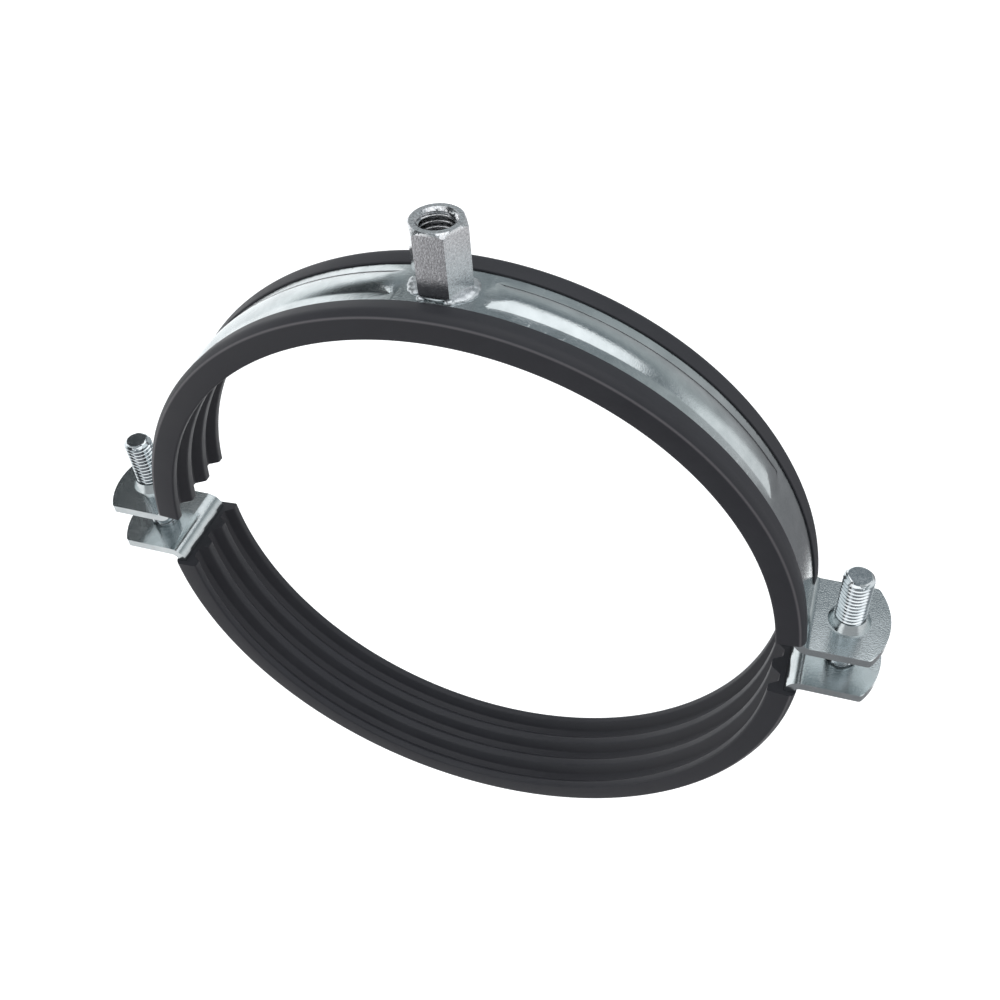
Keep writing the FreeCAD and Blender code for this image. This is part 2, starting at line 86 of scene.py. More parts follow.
# Lumps of weld metal: bearing from +X in degrees, distance out from the nut's corner,
# radius, and height as a share of the radius
WELD_LUMPS = (
    (-44, -0.9, 1.6, 0.5), (-32, -0.7, 1.8, 0.45), (-20, -0.6, 2.0, 0.45), (-8, -0.7, 2.2, 0.5),
    (4, -0.7, 2.2, 0.5), (16, -0.6, 1.9, 0.45), (28, -0.7, 1.6, 0.4),
    (152, -0.7, 1.6, 0.4), (164, -0.6, 1.9, 0.45), (176, -0.7, 2.2, 0.5), (188, -0.7, 2.1, 0.5),
    (200, -0.6, 1.8, 0.45), (212, -0.9, 1.5, 0.5),
    (240, -0.5, 1.2, 0.7), (-60, -0.5, 1.35, 0.75), (60, -0.4, 1.1, 0.6), (120, -0.4, 1.1, 0.6),
)
WELD_GRAIN = 0.14 * MM
WELD_RIPPLE_LENGTH = 1.6 * MM
WELD_RIPPLE_HEIGHT = 0.35 * MM
WELD_SMOOTHING = 45

# Rubber lining section, as half widths along the pipe and radii from the seat's centre
SEAT_RADIUS = 87.2 * MM
RIB_HEIGHT = 2.7 * MM
GROOVE_PITCH = 8.67 * MM
GROOVE_MOUTH = 6.3 * MM
GROOVE_FLOOR = 2.4 * MM
LINING_HALF = 14.05 * MM
CHANNEL_HALF = 12.55 * MM
LIP_SHOULDER_HALF = 12.45 * MM
LIP_TIP_HALF = 7.8 * MM
CHANNEL_RADIUS = 91.45 * MM
UNDER_LIP_RADIUS = 94.05 * MM
CREASE_RADIUS = 93.55 * MM
SHOULDER_RADIUS = 95.0 * MM
LIP_TIP_RADIUS = 94.45 * MM
# Roundings of that section, as the length cut from each side of a corner
FLOOR_ROUND = 0.4 * MM
RIB_ROUND = 0.5 * MM
RIM_ROUND = 0.6 * MM
CREASE_ROUND = 0.3 * MM
SHOULDER_ROUND = 1.3 * MM
LIP_TIP_ROUND = 0.3 * MM
LINING_END_ANGLE = math.radians(4.75)
LINING_STEPS = 240
LINING_EDGE = 40
CURVE_STEPS = 4
# Painted highlight: a pale line painted where the rubber's side wall turns into the lip, standing in for
# the light that edge catches
CREASE_HIGHLIGHT_WIDTH = 0.55 * MM
CREASE_HIGHLIGHT_SHARE = 0.8
CREASE_HIGHLIGHT_TONE = (0.16, 0.15, 0.16, 1.0)
# Length that one radian round the pipe counts for in the rubber's fine lines, in metres
LINE_LENGTH = 0.002

# Strap and its pressed bead, cut free of what stands over it by a ring of the trimmer's height
STRAP_RADIUS = 94.0 * MM
BEAD_FOOT = 4.75 * MM
BEAD_RISE = 0.95 * MM
BEAD_LIFT = 0.03 * MM
BEAD_STEPS = 16
BEAD_SWING = math.radians(62)
TRIMMER_HEIGHT = 3.0 * MM
STRAP_EDGE_BREAK = 0.25 * MM

# Camera, fitted to the photograph; its angles are radians
CAMERA_PLACE = Vector((89.21, -205.99, 246.66)) * MM
CAMERA_YAW = -0.3696
CAMERA_PITCH = 0.7843
CAMERA_ROLL = -0.0830
CAMERA_LENS = 41.625

# Floor: height, sides as left, right, front and back, paint, and the light that the lens sees in it
FLOOR_HEIGHT = -0.35
FLOOR_SIDES = (-6.0, 0.26, -0.12, 8.0)
FLOOR_WHITE = 0.85
FLOOR_LIFT = 0.6

# Tone of the studio by height, from straight below to straight above
SKY = (
    (0.0, (0.40, 0.40, 0.41)),
    (0.18, (0.20, 0.20, 0.21)),
    (0.32, (0.24, 0.24, 0.25)),
    (0.5, (0.46, 0.47, 0.48)),
    (0.72, (0.46, 0.50, 0.51)),
    (0.84, (0.20, 0.23, 0.25)),
    (1.0, (0.24, 0.27, 0.29)),
)
# Pale screen at the left, low down, and shade above it. Directions are sines of angles.
LEFT_GLOW = 0.8
LEFT_SHADE = 0.8
LEFT_EDGE = (-0.3, -0.5)
GLOW_HEIGHTS = (-0.75, 0.3)
GLOW_SOFTNESS = 0.2
SHADE_HEIGHTS = (0.55, 2.0)
SHADE_SOFTNESS = 0.12
# Grey screen at the right
RIGHT_GLOW = 0.5
RIGHT_EDGE = (0.68, 0.86)
RIGHT_HEIGHTS = (-0.65, 0.5)
RIGHT_SOFTNESS = 0.1
# Overhead softbox, with its edges as slopes from straight above
BOX_ACROSS = (-0.60, 0.85)
BOX_ALONG = (-0.70, 0.76)
BOX_SOFTNESS = 0.07
BOX_GLOW = 1.1
OVERHEAD = (0.1, 2.0)
OVERHEAD_SOFTNESS = 0.05


# Helpers for modelling

def select_only(piece):
    bpy.ops.object.select_all(action="DESELECT")
    piece.select_set(True)
    bpy.context.view_layer.objects.active = piece


def apply_modifier(piece, kind, **settings):
    select_only(piece)
    modifier = piece.modifiers.new(kind.title(), kind)
    for key, value in settings.items():
        setattr(modifier, key, value)
    bpy.ops.object.modifier_apply(modifier=modifier.name)


def recalculate_normals(piece):
    select_only(piece)
    bpy.ops.object.mode_set(mode="EDIT")
    bpy.ops.mesh.select_all(action="SELECT")
    bpy.ops.mesh.normals_make_consistent(inside=False)
    bpy.ops.object.mode_set(mode="OBJECT")


def apply_place(piece):
    select_only(piece)
    bpy.ops.object.transform_apply(location=True, rotation=True, scale=True)


def smooth(piece, degrees=30):
    select_only(piece)
    bpy.ops.object.shade_smooth_by_angle(angle=math.radians(degrees))


def crisp(piece):
    """Smooth the round surfaces and keep the flat ones flat up to their edges."""
    smooth(piece, SHADED_EDGE)
    apply_modifier(piece, "WEIGHTED_NORMAL", mode="FACE_AREA", weight=50, keep_sharp=True)


def solid_copy(node, name):
    """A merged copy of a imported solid, to be worked further."""
    piece = bpy.data.objects.new(name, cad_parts[node].data.copy())
    bpy.context.scene.collection.objects.link(piece)
    piece.data.materials.clear()
    select_only(piece)
    bpy.ops.object.mode_set(mode="EDIT")
    bpy.ops.mesh.select_all(action="SELECT")
    bpy.ops.mesh.remove_doubles(threshold=SOLID_MERGE)
    bpy.ops.mesh.tris_convert_to_quads(face_threshold=math.radians(1), shape_threshold=math.radians(180))
    bpy.ops.object.mode_set(mode="OBJECT")
    return piece


def cut_away(piece, cutter):
    apply_modifier(piece, "BOOLEAN", operation="DIFFERENCE", solver="EXACT", object=cutter)
    bpy.data.objects.remove(cutter)


def break_edges(piece, width):
    apply_modifier(
        piece, "BEVEL", width=width, segments=2, limit_method="ANGLE",
        angle_limit=math.radians(BROKEN_EDGE),
    )


def outline(name, corners):
    """A flat face through (y, z) corners, drawn by pulling one point along."""
    bpy.ops.object.select_all(action="DESELECT")
    bpy.ops.mesh.primitive_plane_add(size=MM)
    piece = bpy.context.active_object
    piece.name = name
    bpy.ops.object.mode_set(mode="EDIT")
    bpy.ops.mesh.merge(type="CENTER")
    places = [Vector((0.0, y, z)) for y, z in corners]
    bpy.ops.transform.translate(value=places[0])
    for start, end in zip(places, places[1:]):
        bpy.ops.mesh.extrude_region_move(TRANSFORM_OT_translate={"value": end - start})
    bpy.ops.mesh.select_all(action="SELECT")
    bpy.ops.mesh.edge_face_add()
    bpy.ops.object.mode_set(mode="OBJECT")
    return piece


def soften(corners):
    """Replace each corner that has a cut length by a short curve between its two sides."""
    points = []
    for index, (y, z, cut) in enumerate(corners):
        corner = Vector((y, z))
        if not cut:
            points.append(corner)
            continue
        before = Vector(corners[index - 1][:2])
        after = Vector(corners[(index + 1) % len(corners)][:2])
        start = corner + (before - corner).normalized() * cut
        end = corner + (after - corner).normalized() * cut
        for step in range(CURVE_STEPS + 1):
            t = step / CURVE_STEPS
            points.append(start * (1 - t) ** 2 + corner * (2 * t * (1 - t)) + end * t ** 2)
    return points


def spin_about_pipe(piece, swing, steps):
    """Spin a flat outline evenly to both sides of the crown, round the pipe's axis."""
    piece.rotation_euler = (0.0, swing / 2, 0.0)
    apply_place(piece)
    select_only(piece)
    bpy.ops.object.mode_set(mode="EDIT")
    bpy.ops.mesh.select_all(action="SELECT")
    bpy.ops.mesh.spin(steps=steps, angle=swing, center=(0.0, 0.0, 0.0), axis=(0.0, 1.0, 0.0))
    bpy.ops.mesh.select_all(action="SELECT")
    bpy.ops.mesh.remove_doubles(threshold=MERGE)
    bpy.ops.object.mode_set(mode="OBJECT")
    recalculate_normals(piece)


def place_half(piece, centre, upper):
    """Turn a piece of the lower half over, and put either half round its seat's centre."""
    if not upper:
        piece.rotation_euler = (0.0, math.pi, 0.0)
    piece.location = centre
    apply_place(piece)


def thread_cutter(name, root, mouth, mouth_width, pitch, foot, turns):
    """A helical bar of thread-shaped section that winds up from the foot."""
    bpy.ops.object.select_all(action="DESELECT")
    bpy.ops.mesh.primitive_plane_add(size=1.0, rotation=(math.pi / 2, 0.0, 0.0))
    cutter = bpy.context.active_object
    cutter.name = name
    apply_place(cutter)
    for vertex in cutter.data.vertices:
        deep = vertex.co.x > 0
        width = THREAD_FLOOR if deep else mouth_width
        vertex.co = (root if deep else mouth, 0.0, math.copysign(width / 2, vertex.co.z))
    apply_modifier(
        cutter, "SCREW", axis="Z", screw_offset=pitch, iterations=turns,
        steps=THREAD_STEPS, render_steps=THREAD_STEPS,
    )
    select_only(cutter)
    bpy.ops.object.mode_set(mode="EDIT")
    bpy.ops.mesh.select_all(action="SELECT")
    bpy.ops.mesh.remove_doubles(threshold=MERGE)
    bpy.ops.mesh.select_all(action="SELECT")
    bpy.ops.mesh.fill_holes(sides=4)
    bpy.ops.object.mode_set(mode="OBJECT")
    cutter.location = foot
    apply_place(cutter)
    recalculate_normals(cutter)
    return cutter


# Helpers for materials

def add_node(tree, kind, **settings):
    node = tree.nodes.new(kind)
    for key, value in settings.items():
        setattr(node, key, value)
    return node


def set_inputs(node, **values):
    for key, value in values.items():
        node.inputs[key.replace("_", " ")].default_value = value


def new_group(name, inputs, outputs):
    group = bpy.data.node_groups.new(name, "ShaderNodeTree")
    for label, kind, value in inputs:
        socket = group.interface.new_socket(label, in_out="INPUT", socket_type=kind)
        socket.default_value = value
    for label, kind in outputs:
        group.interface.new_socket(label, in_out="OUTPUT", socket_type=kind)
    return group, add_node(group, "NodeGroupInput"), add_node(group, "NodeGroupOutput")


def zinc_plating():
    """Patchy colour, grain and waviness of bright zinc plating on steel."""
    group, given, result = new_group(
        "zinc_plating",
        [
            ("Pale", "NodeSocketColor", (0.8, 0.82, 0.84, 1.0)),
            ("Dull", "NodeSocketColor", (0.6, 0.62, 0.64, 1.0)),
            ("Patch Scale", "NodeSocketFloat", 120.0),
            ("Grain Scale", "NodeSocketFloat", 2500.0),
            ("Grain Depth", "NodeSocketFloat", 0.00002),
            ("Wave Depth", "NodeSocketFloat", 0.0001),
            ("Least Roughness", "NodeSocketFloat", 0.2),
            ("Most Roughness", "NodeSocketFloat", 0.4),
            ("Stretch", "NodeSocketVector", (1.0, 1.0, 1.0)),
        ],
        [("Color", "NodeSocketColor"), ("Roughness", "NodeSocketFloat"), ("Normal", "NodeSocketVector")],
    )
    links = group.links
    place = add_node(group, "ShaderNodeTexCoord")
    patches = add_node(group, "ShaderNodeTexNoise")
    set_inputs(patches, Detail=4.0, Roughness=0.6)
    links.new(place.outputs["Object"], patches.inputs["Vector"])
    links.new(given.outputs["Patch Scale"], patches.inputs["Scale"])
    spread = add_node(group, "ShaderNodeMapRange")
    set_inputs(spread, From_Min=0.3, From_Max=0.7)
    links.new(patches.outputs["Fac"], spread.inputs["Value"])
    colour = add_node(group, "ShaderNodeMix", data_type="RGBA")
    links.new(spread.outputs["Result"], colour.inputs["Factor"])
    links.new(given.outputs["Dull"], colour.inputs["A"])
    links.new(given.outputs["Pale"], colour.inputs["B"])
    links.new(colour.outputs["Result"], result.inputs["Color"])

    stretched = add_node(group, "ShaderNodeVectorMath", operation="MULTIPLY")
    links.new(place.outputs["Object"], stretched.inputs[0])
    links.new(given.outputs["Stretch"], stretched.inputs[1])
    grain = add_node(group, "ShaderNodeTexNoise")
    set_inputs(grain, Detail=3.0, Roughness=0.55)
    links.new(stretched.outputs["Vector"], grain.inputs["Vector"])
    links.new(given.outputs["Grain Scale"], grain.inputs["Scale"])
    rough = add_node(group, "ShaderNodeMapRange")
    set_inputs(rough, From_Min=0.3, From_Max=0.7)
    links.new(grain.outputs["Fac"], rough.inputs["Value"])
    links.new(given.outputs["Least Roughness"], rough.inputs["To Min"])
    links.new(given.outputs["Most Roughness"], rough.inputs["To Max"])
    links.new(rough.outputs["Result"], result.inputs["Roughness"])

    waves = add_node(group, "ShaderNodeBump")
    links.new(patches.outputs["Fac"], waves.inputs["Height"])
    links.new(given.outputs["Wave Depth"], waves.inputs["Distance"])
    relief = add_node(group, "ShaderNodeBump")
    links.new(grain.outputs["Fac"], relief.inputs["Height"])
    links.new(given.outputs["Grain Depth"], relief.inputs["Distance"])
    links.new(waves.outputs["Normal"], relief.inputs["Normal"])
    links.new(relief.outputs["Normal"], result.inputs["Normal"])
    return group


def extruded_rubber():
    """Fine lines along an extruded rubber profile that is bent round the pipe, faint dust, and a painted
    highlight along the crease of the side wall.
    """
    group, given, result = new_group(
        "extruded_rubber",
        [
            ("Centre", "NodeSocketVector", (0.0, 0.0, 0.0)),
            ("Dark", "NodeSocketColor", (0.020, 0.020, 0.026, 1.0)),
            ("Worn", "NodeSocketColor", (0.030, 0.030, 0.037, 1.0)),
            ("Crease", "NodeSocketVector", (0.0, 0.0, 0.0)),
        ],
        [("Color", "NodeSocketColor"), ("Roughness", "NodeSocketFloat"), ("Normal", "NodeSocketVector")],
    )
    links = group.links
    place = add_node(group, "ShaderNodeTexCoord")
    moved = add_node(group, "ShaderNodeVectorMath", operation="SUBTRACT")
    links.new(place.outputs["Object"], moved.inputs[0])
    links.new(given.outputs["Centre"], moved.inputs[1])
    across = add_node(group, "ShaderNodeVectorMath", operation="MULTIPLY")
    across.inputs[1].default_value = (1.0, 0.0, 1.0)
    links.new(moved.outputs["Vector"], across.inputs[0])
    radius = add_node(group, "ShaderNodeVectorMath", operation="LENGTH")
    links.new(across.outputs["Vector"], radius.inputs[0])
    parts = add_node(group, "ShaderNodeSeparateXYZ")
    links.new(moved.outputs["Vector"], parts.inputs["Vector"])
    angle = add_node(group, "ShaderNodeMath", operation="ARCTAN2")
    links.new(parts.outputs["X"], angle.inputs[0])
    links.new(parts.outputs["Z"], angle.inputs[1])
    slow = add_node(group, "ShaderNodeMath", operation="MULTIPLY")
    slow.inputs[1].default_value = LINE_LENGTH
    links.new(angle.outputs["Value"], slow.inputs[0])
    unrolled = add_node(group, "ShaderNodeCombineXYZ")
    links.new(radius.outputs["Value"], unrolled.inputs["X"])
    links.new(parts.outputs["Y"], unrolled.inputs["Y"])
    links.new(slow.outputs["Value"], unrolled.inputs["Z"])
    lines = add_node(group, "ShaderNodeTexNoise")
    set_inputs(lines, Scale=1800.0, Detail=3.0, Roughness=0.6)
    links.new(unrolled.outputs["Vector"], lines.inputs["Vector"])

    dust = add_node(group, "ShaderNodeTexNoise")
    set_inputs(dust, Scale=90.0, Detail=6.0, Roughness=0.65)
    links.new(place.outputs["Object"], dust.inputs["Vector"])
    amount = add_node(group, "ShaderNodeMapRange")
    set_inputs(amount, From_Min=0.35, From_Max=0.75)
    links.new(dust.outputs["Fac"], amount.inputs["Value"])
    colour = add_node(group, "ShaderNodeMix", data_type="RGBA")
    links.new(amount.outputs["Result"], colour.inputs["Factor"])
    links.new(given.outputs["Dark"], colour.inputs["A"])
    links.new(given.outputs["Worn"], colour.inputs["B"])
    outward = add_node(group, "ShaderNodeMath", operation="ABSOLUTE")
    links.new(parts.outputs["Y"], outward.inputs[0])
    section = add_node(group, "ShaderNodeCombineXYZ")
    links.new(radius.outputs["Value"], section.inputs["X"])
    links.new(outward.outputs["Value"], section.inputs["Y"])
    away = add_node(group, "ShaderNodeVectorMath", operation="DISTANCE")
    links.new(section.outputs["Vector"], away.inputs[0])
    links.new(given.outputs["Crease"], away.inputs[1])
    # Painted highlight: the rubber's colour turns pale near the crease, standing in for the light caught
    # by that edge
    crease_highlight_mask = add_node(group, "ShaderNodeMapRange", interpolation_type="SMOOTHSTEP")
    set_inputs(crease_highlight_mask, From_Min=CREASE_HIGHLIGHT_WIDTH, From_Max=0.0, To_Min=0.0, To_Max=CREASE_HIGHLIGHT_SHARE)
    links.new(away.outputs["Value"], crease_highlight_mask.inputs["Value"])
    crease_highlight = add_node(group, "ShaderNodeMix", data_type="RGBA")
    crease_highlight.inputs["B"].default_value = CREASE_HIGHLIGHT_TONE
    links.new(crease_highlight_mask.outputs["Result"], crease_highlight.inputs["Factor"])
    links.new(colour.outputs["Result"], crease_highlight.inputs["A"])
    links.new(crease_highlight.outputs["Result"], result.inputs["Color"])
    rough = add_node(group, "ShaderNodeMapRange")
    set_inputs(rough, From_Min=0.3, From_Max=0.7, To_Min=0.5, To_Max=0.62)
    links.new(dust.outputs["Fac"], rough.inputs["Value"])
    links.new(rough.outputs["Result"], result.inputs["Roughness"])
    relief = add_node(group, "ShaderNodeBump")
    set_inputs(relief, Distance=0.00002, Strength=0.6)
    links.new(lines.outputs["Fac"], relief.inputs["Height"])
    links.new(relief.outputs["Normal"], result.inputs["Normal"])
    return group


def finish_material(name, group, metallic, **values):
    """A material whose colour, roughness and relief come from one of the groups."""
    material = bpy.data.materials.new(name)
    material.use_nodes = True
    tree = material.node_tree
    shader = tree.nodes["Principled BSDF"]
    finish = add_node(tree, "ShaderNodeGroup", node_tree=group)
    set_inputs(finish, **values)
    shader.inputs["Metallic"].default_value = metallic
    tree.links.new(finish.outputs["Color"], shader.inputs["Base Color"])
    tree.links.new(finish.outputs["Roughness"], shader.inputs["Roughness"])
    tree.links.new(finish.outputs["Normal"], shader.inputs["Normal"])
    return material


def dress(piece, material):
    piece.data.materials.clear()
    piece.data.materials.append(material)


# Pieces

def lining_piece(name, centre, upper):
    """The ribbed rubber channel, spun from its section round the pipe's axis."""
    crest = SEAT_RADIUS
    floor = SEAT_RADIUS + RIB_HEIGHT
    half = [
        (GROOVE_FLOOR / 2, floor, FLOOR_ROUND),
        (GROOVE_MOUTH / 2, crest, RIB_ROUND),
        (GROOVE_PITCH - GROOVE_MOUTH / 2, crest, RIB_ROUND),
        (GROOVE_PITCH - GROOVE_FLOOR / 2, floor, FLOOR_ROUND),
        (GROOVE_PITCH + GROOVE_FLOOR / 2, floor, FLOOR_ROUND),
        (GROOVE_PITCH + GROOVE_MOUTH / 2, crest, RIB_ROUND),
        (LINING_HALF, crest, RIM_ROUND),
        (LINING_HALF, CREASE_RADIUS, CREASE_ROUND),
        (LIP_SHOULDER_HALF, SHOULDER_RADIUS, SHOULDER_ROUND),
        (LIP_TIP_HALF, LIP_TIP_RADIUS, LIP_TIP_ROUND),
        (LIP_TIP_HALF, UNDER_LIP_RADIUS, 0.0),
        (CHANNEL_HALF, UNDER_LIP_RADIUS, 0.0),
        (CHANNEL_HALF, CHANNEL_RADIUS, 0.0),
    ]
    corners = half + [(-y, z, cut) for y, z, cut in reversed(half)]
    piece = outline(name, soften(corners))
    spin_about_pipe(piece, math.pi - 2 * LINING_END_ANGLE, LINING_STEPS)
    place_half(piece, centre, upper)
    smooth(piece, LINING_EDGE)
    return piece


def bead_trimmer(name, centre, upper):
    """What stands over a narrow bead with crisp feet, to be cut from the strap's broad one."""
    foot = STRAP_RADIUS + BEAD_LIFT
    bow = (BEAD_FOOT ** 2 + BEAD_RISE ** 2) / (2 * BEAD_RISE)
    corners = []
    for step in range(BEAD_STEPS + 1):
        y = BEAD_FOOT * (2 * step / BEAD_STEPS - 1)
        corners.append((y, foot + math.sqrt(bow ** 2 - y ** 2) - bow + BEAD_RISE))
    reach = CHANNEL_HALF - BEAD_FOOT
    top = foot + TRIMMER_HEIGHT
    corners = [(-reach, foot), *corners, (reach, foot), (reach, top), (-reach, top)]
    piece = outline(name, [Vector(corner) for corner in corners])
    spin_about_pipe(piece, 2 * BEAD_SWING, LINING_STEPS)
    place_half(piece, centre, upper)
    return piece


def screw_foot(side):
    """Where a screw's axis meets the end of its head."""
    low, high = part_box(side + "_screw")
    return Vector(((low[0] + high[0]) / 2, 0.0, low[2]))


def tapered_collar(side):
    """The upper part of the collar round one screw, its foot sunk a little into the ear."""
    x = screw_foot(side).x
    bpy.ops.object.select_all(action="DESELECT")
    bpy.ops.mesh.primitive_cone_add(
        vertices=LATHE_SIDES, radius1=COLLAR_FOOT, radius2=COLLAR_TOP, depth=COLLAR_HEIGHT,
        location=(x, 0.0, EAR_TOP + COLLAR_HEIGHT / 2 - COLLAR_SUNK),
    )
    collar = bpy.context.active_object
    bpy.ops.mesh.primitive_cylinder_add(
        vertices=LATHE_SIDES, radius=COLLAR_HOLE, depth=3 * COLLAR_HEIGHT, location=(x, 0.0, EAR_TOP),
    )
    cut_away(collar, bpy.context.active_object)
    apply_place(collar)
    smooth(collar)
    return collar


def strap_piece(node, name, centre, upper):
    """A strap half with a crisp bead and its stamped edges slightly broken."""
    piece = solid_copy(node, name)
    cut_away(piece, bead_trimmer(name + "_trimmer", centre, upper))
    break_edges(piece, STRAP_EDGE_BREAK)
    crisp(piece)
    if upper:
        collars = [tapered_collar("left"), tapered_collar("right")]
        select_only(piece)
        for collar in collars:
            collar.select_set(True)
        bpy.ops.object.join()
    return piece


def threaded_screw(node, name, foot):
    """A clamping screw with its real thread."""
    piece = solid_copy(node, name)
    cutter = thread_cutter(
        name + "_cutter", SCREW_ROOT, SCREW_RADIUS + THREAD_STAND_OFF, SCREW_GROOVE,
        SCREW_PITCH, foot, SCREW_TURNS,
    )
    cut_away(piece, cutter)
    crisp(piece)
    return piece


def threaded_nut(node, name):
    """The hanger nut with its internal thread."""
    piece = solid_copy(node, name)
    break_edges(piece, NUT_EDGE_BREAK)
    foot = Vector((0.0, 0.0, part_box(node)[0][2] + NUT_THREAD_START))
    cutter = thread_cutter(
        name + "_cutter", NUT_BORE + NUT_THREAD_DEPTH, NUT_BORE - THREAD_STAND_OFF, NUT_GROOVE,
        NUT_PITCH, foot, NUT_TURNS,
    )
    cut_away(piece, cutter)
    crisp(piece)
    return piece


def weld_piece(name):
    """Melted metal round the foot of the nut, full at its sides and low at the lips."""
    low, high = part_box("hanger_nut")
    corner = (high[0] - low[0]) / 2
    lumps = []
    for bearing, reach, radius, height in WELD_LUMPS:
        angle = math.radians(bearing)
        x = (corner + reach * MM) * math.cos(angle)
        y = (corner + reach * MM) * math.sin(angle)
        z = math.sqrt(low[2] ** 2 - x ** 2)
        bpy.ops.object.select_all(action="DESELECT")
        bpy.ops.mesh.primitive_ico_sphere_add(subdivisions=4, radius=radius * MM, location=(x, y, z))
        lump = bpy.context.active_object
        lump.scale = (1.0, 1.0, height)
        apply_place(lump)
        lumps.append(lump)
    bpy.ops.object.select_all(action="DESELECT")
    for lump in lumps:
        lump.select_set(True)
    piece = lumps[0]
    bpy.context.view_layer.objects.active = piece
    bpy.ops.object.join()
    piece.name = name
    ripple = bpy.data.textures.new("weld_ripple", "CLOUDS")
    ripple.noise_scale = WELD_RIPPLE_LENGTH
    apply_modifier(piece, "REMESH", mode="VOXEL", voxel_size=WELD_GRAIN, use_smooth_shade=True)
    apply_modifier(
        piece, "DISPLACE", texture=ripple, strength=WELD_RIPPLE_HEIGHT, mid_level=0.5,
        texture_coords="LOCAL",
    )
    apply_modifier(piece, "SMOOTH", factor=0.5, iterations=WELD_SMOOTHING)
    return piece


zinc = zinc_plating()
rubber = extruded_rubber()

strap_zinc = finish_material(
    "strap_zinc", zinc, 1.0,
    Pale=(0.64, 0.68, 0.69, 1.0), Dull=(0.50, 0.54, 0.55, 1.0), Patch_Scale=150.0, Grain_Scale=2400.0,
    Grain_Depth=0.022 * MM, Wave_Depth=0.01 * MM, Least_Roughness=0.10, Most_Roughness=0.22,
)
nut_zinc = finish_material(
    "nut_zinc", zinc, 1.0,
    Pale=(0.86, 0.87, 0.89, 1.0), Dull=(0.50, 0.50, 0.51, 1.0), Patch_Scale=2200.0, Grain_Scale=2400.0,
    Grain_Depth=0.035 * MM, Wave_Depth=0.006 * MM, Least_Roughness=0.12, Most_Roughness=0.24,
    Stretch=(1.0, 1.0, 0.8),
)
screw_zinc = finish_material(
    "screw_zinc", zinc, 1.0,
    Pale=(0.80, 0.83, 0.85, 1.0), Dull=(0.56, 0.60, 0.62, 1.0), Patch_Scale=300.0, Grain_Scale=1800.0,
    Grain_Depth=0.008 * MM, Wave_Depth=0.004 * MM, Least_Roughness=0.08, Most_Roughness=0.18,
)
weld_zinc = finish_material(
    "weld_zinc", zinc, 1.0,
    Pale=(0.76, 0.79, 0.81, 1.0), Dull=(0.46, 0.48, 0.5, 1.0), Patch_Scale=500.0, Grain_Scale=1800.0,
    Grain_Depth=0.012 * MM, Wave_Depth=0.01 * MM, Least_Roughness=0.25, Most_Roughness=0.42,
)

upper_centre = Vector((0.0, 0.0, 0.0))
lower_centre = Vector((0.0, 0.0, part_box("lower_strap")[1][2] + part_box("upper_strap")[0][2]))

for half, centre in (("upper", upper_centre), ("lower", lower_centre)):
    body = half + "_half"
    # The crease given here is where the rubber's painted highlight runs
    rubber_black = finish_material(
        half + "_rubber", rubber, 0.0, Centre=centre, Crease=(CREASE_RADIUS, LINING_HALF, 0.0),
    )
    lining = lining_piece(half + "_rubber_lining", centre, half == "upper")
    dress(lining, rubber_black)
    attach(lining, body)
    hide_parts(half + "_lining")
    strap = strap_piece(half + "_strap", half + "_steel_strap", centre, half == "upper")
    dress(strap, strap_zinc)
    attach(strap, body)
    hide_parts(half + "_strap")

nut = threaded_nut("hanger_nut", "threaded_nut")
dress(nut, nut_zinc)
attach(nut, "upper_half")
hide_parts("hanger_nut")

weld = weld_piece("foot_weld")
dress(weld, weld_zinc)
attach(weld, "upper_half")
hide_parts("nut_weld")

for side in ("left", "right"):
    foot = screw_foot(side) + Vector((0.0, 0.0, SCREW_THREAD_START))
    screw = threaded_screw(side + "_screw", side + "_threaded_screw", foot)
    dress(screw, screw_zinc)
    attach(screw, side + "_clamp_screw")
    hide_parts(side + "_screw")


# Camera, floor and light

def place_camera():
    data = bpy.data.cameras.new("camera")
    data.lens = CAMERA_LENS
    data.sensor_width = 36.0
    data.clip_start = 0.01
    camera = bpy.data.objects.new("camera", data)
    bpy.context.scene.collection.objects.link(camera)
    aim = Euler((math.pi / 2 - CAMERA_PITCH, 0.0, -CAMERA_YAW)).to_matrix()
    turned = aim @ Matrix.Rotation(CAMERA_ROLL, 3, "Z")
    camera.matrix_world = Matrix.Translation(CAMERA_PLACE) @ turned.to_4x4()
    bpy.context.scene.camera = camera


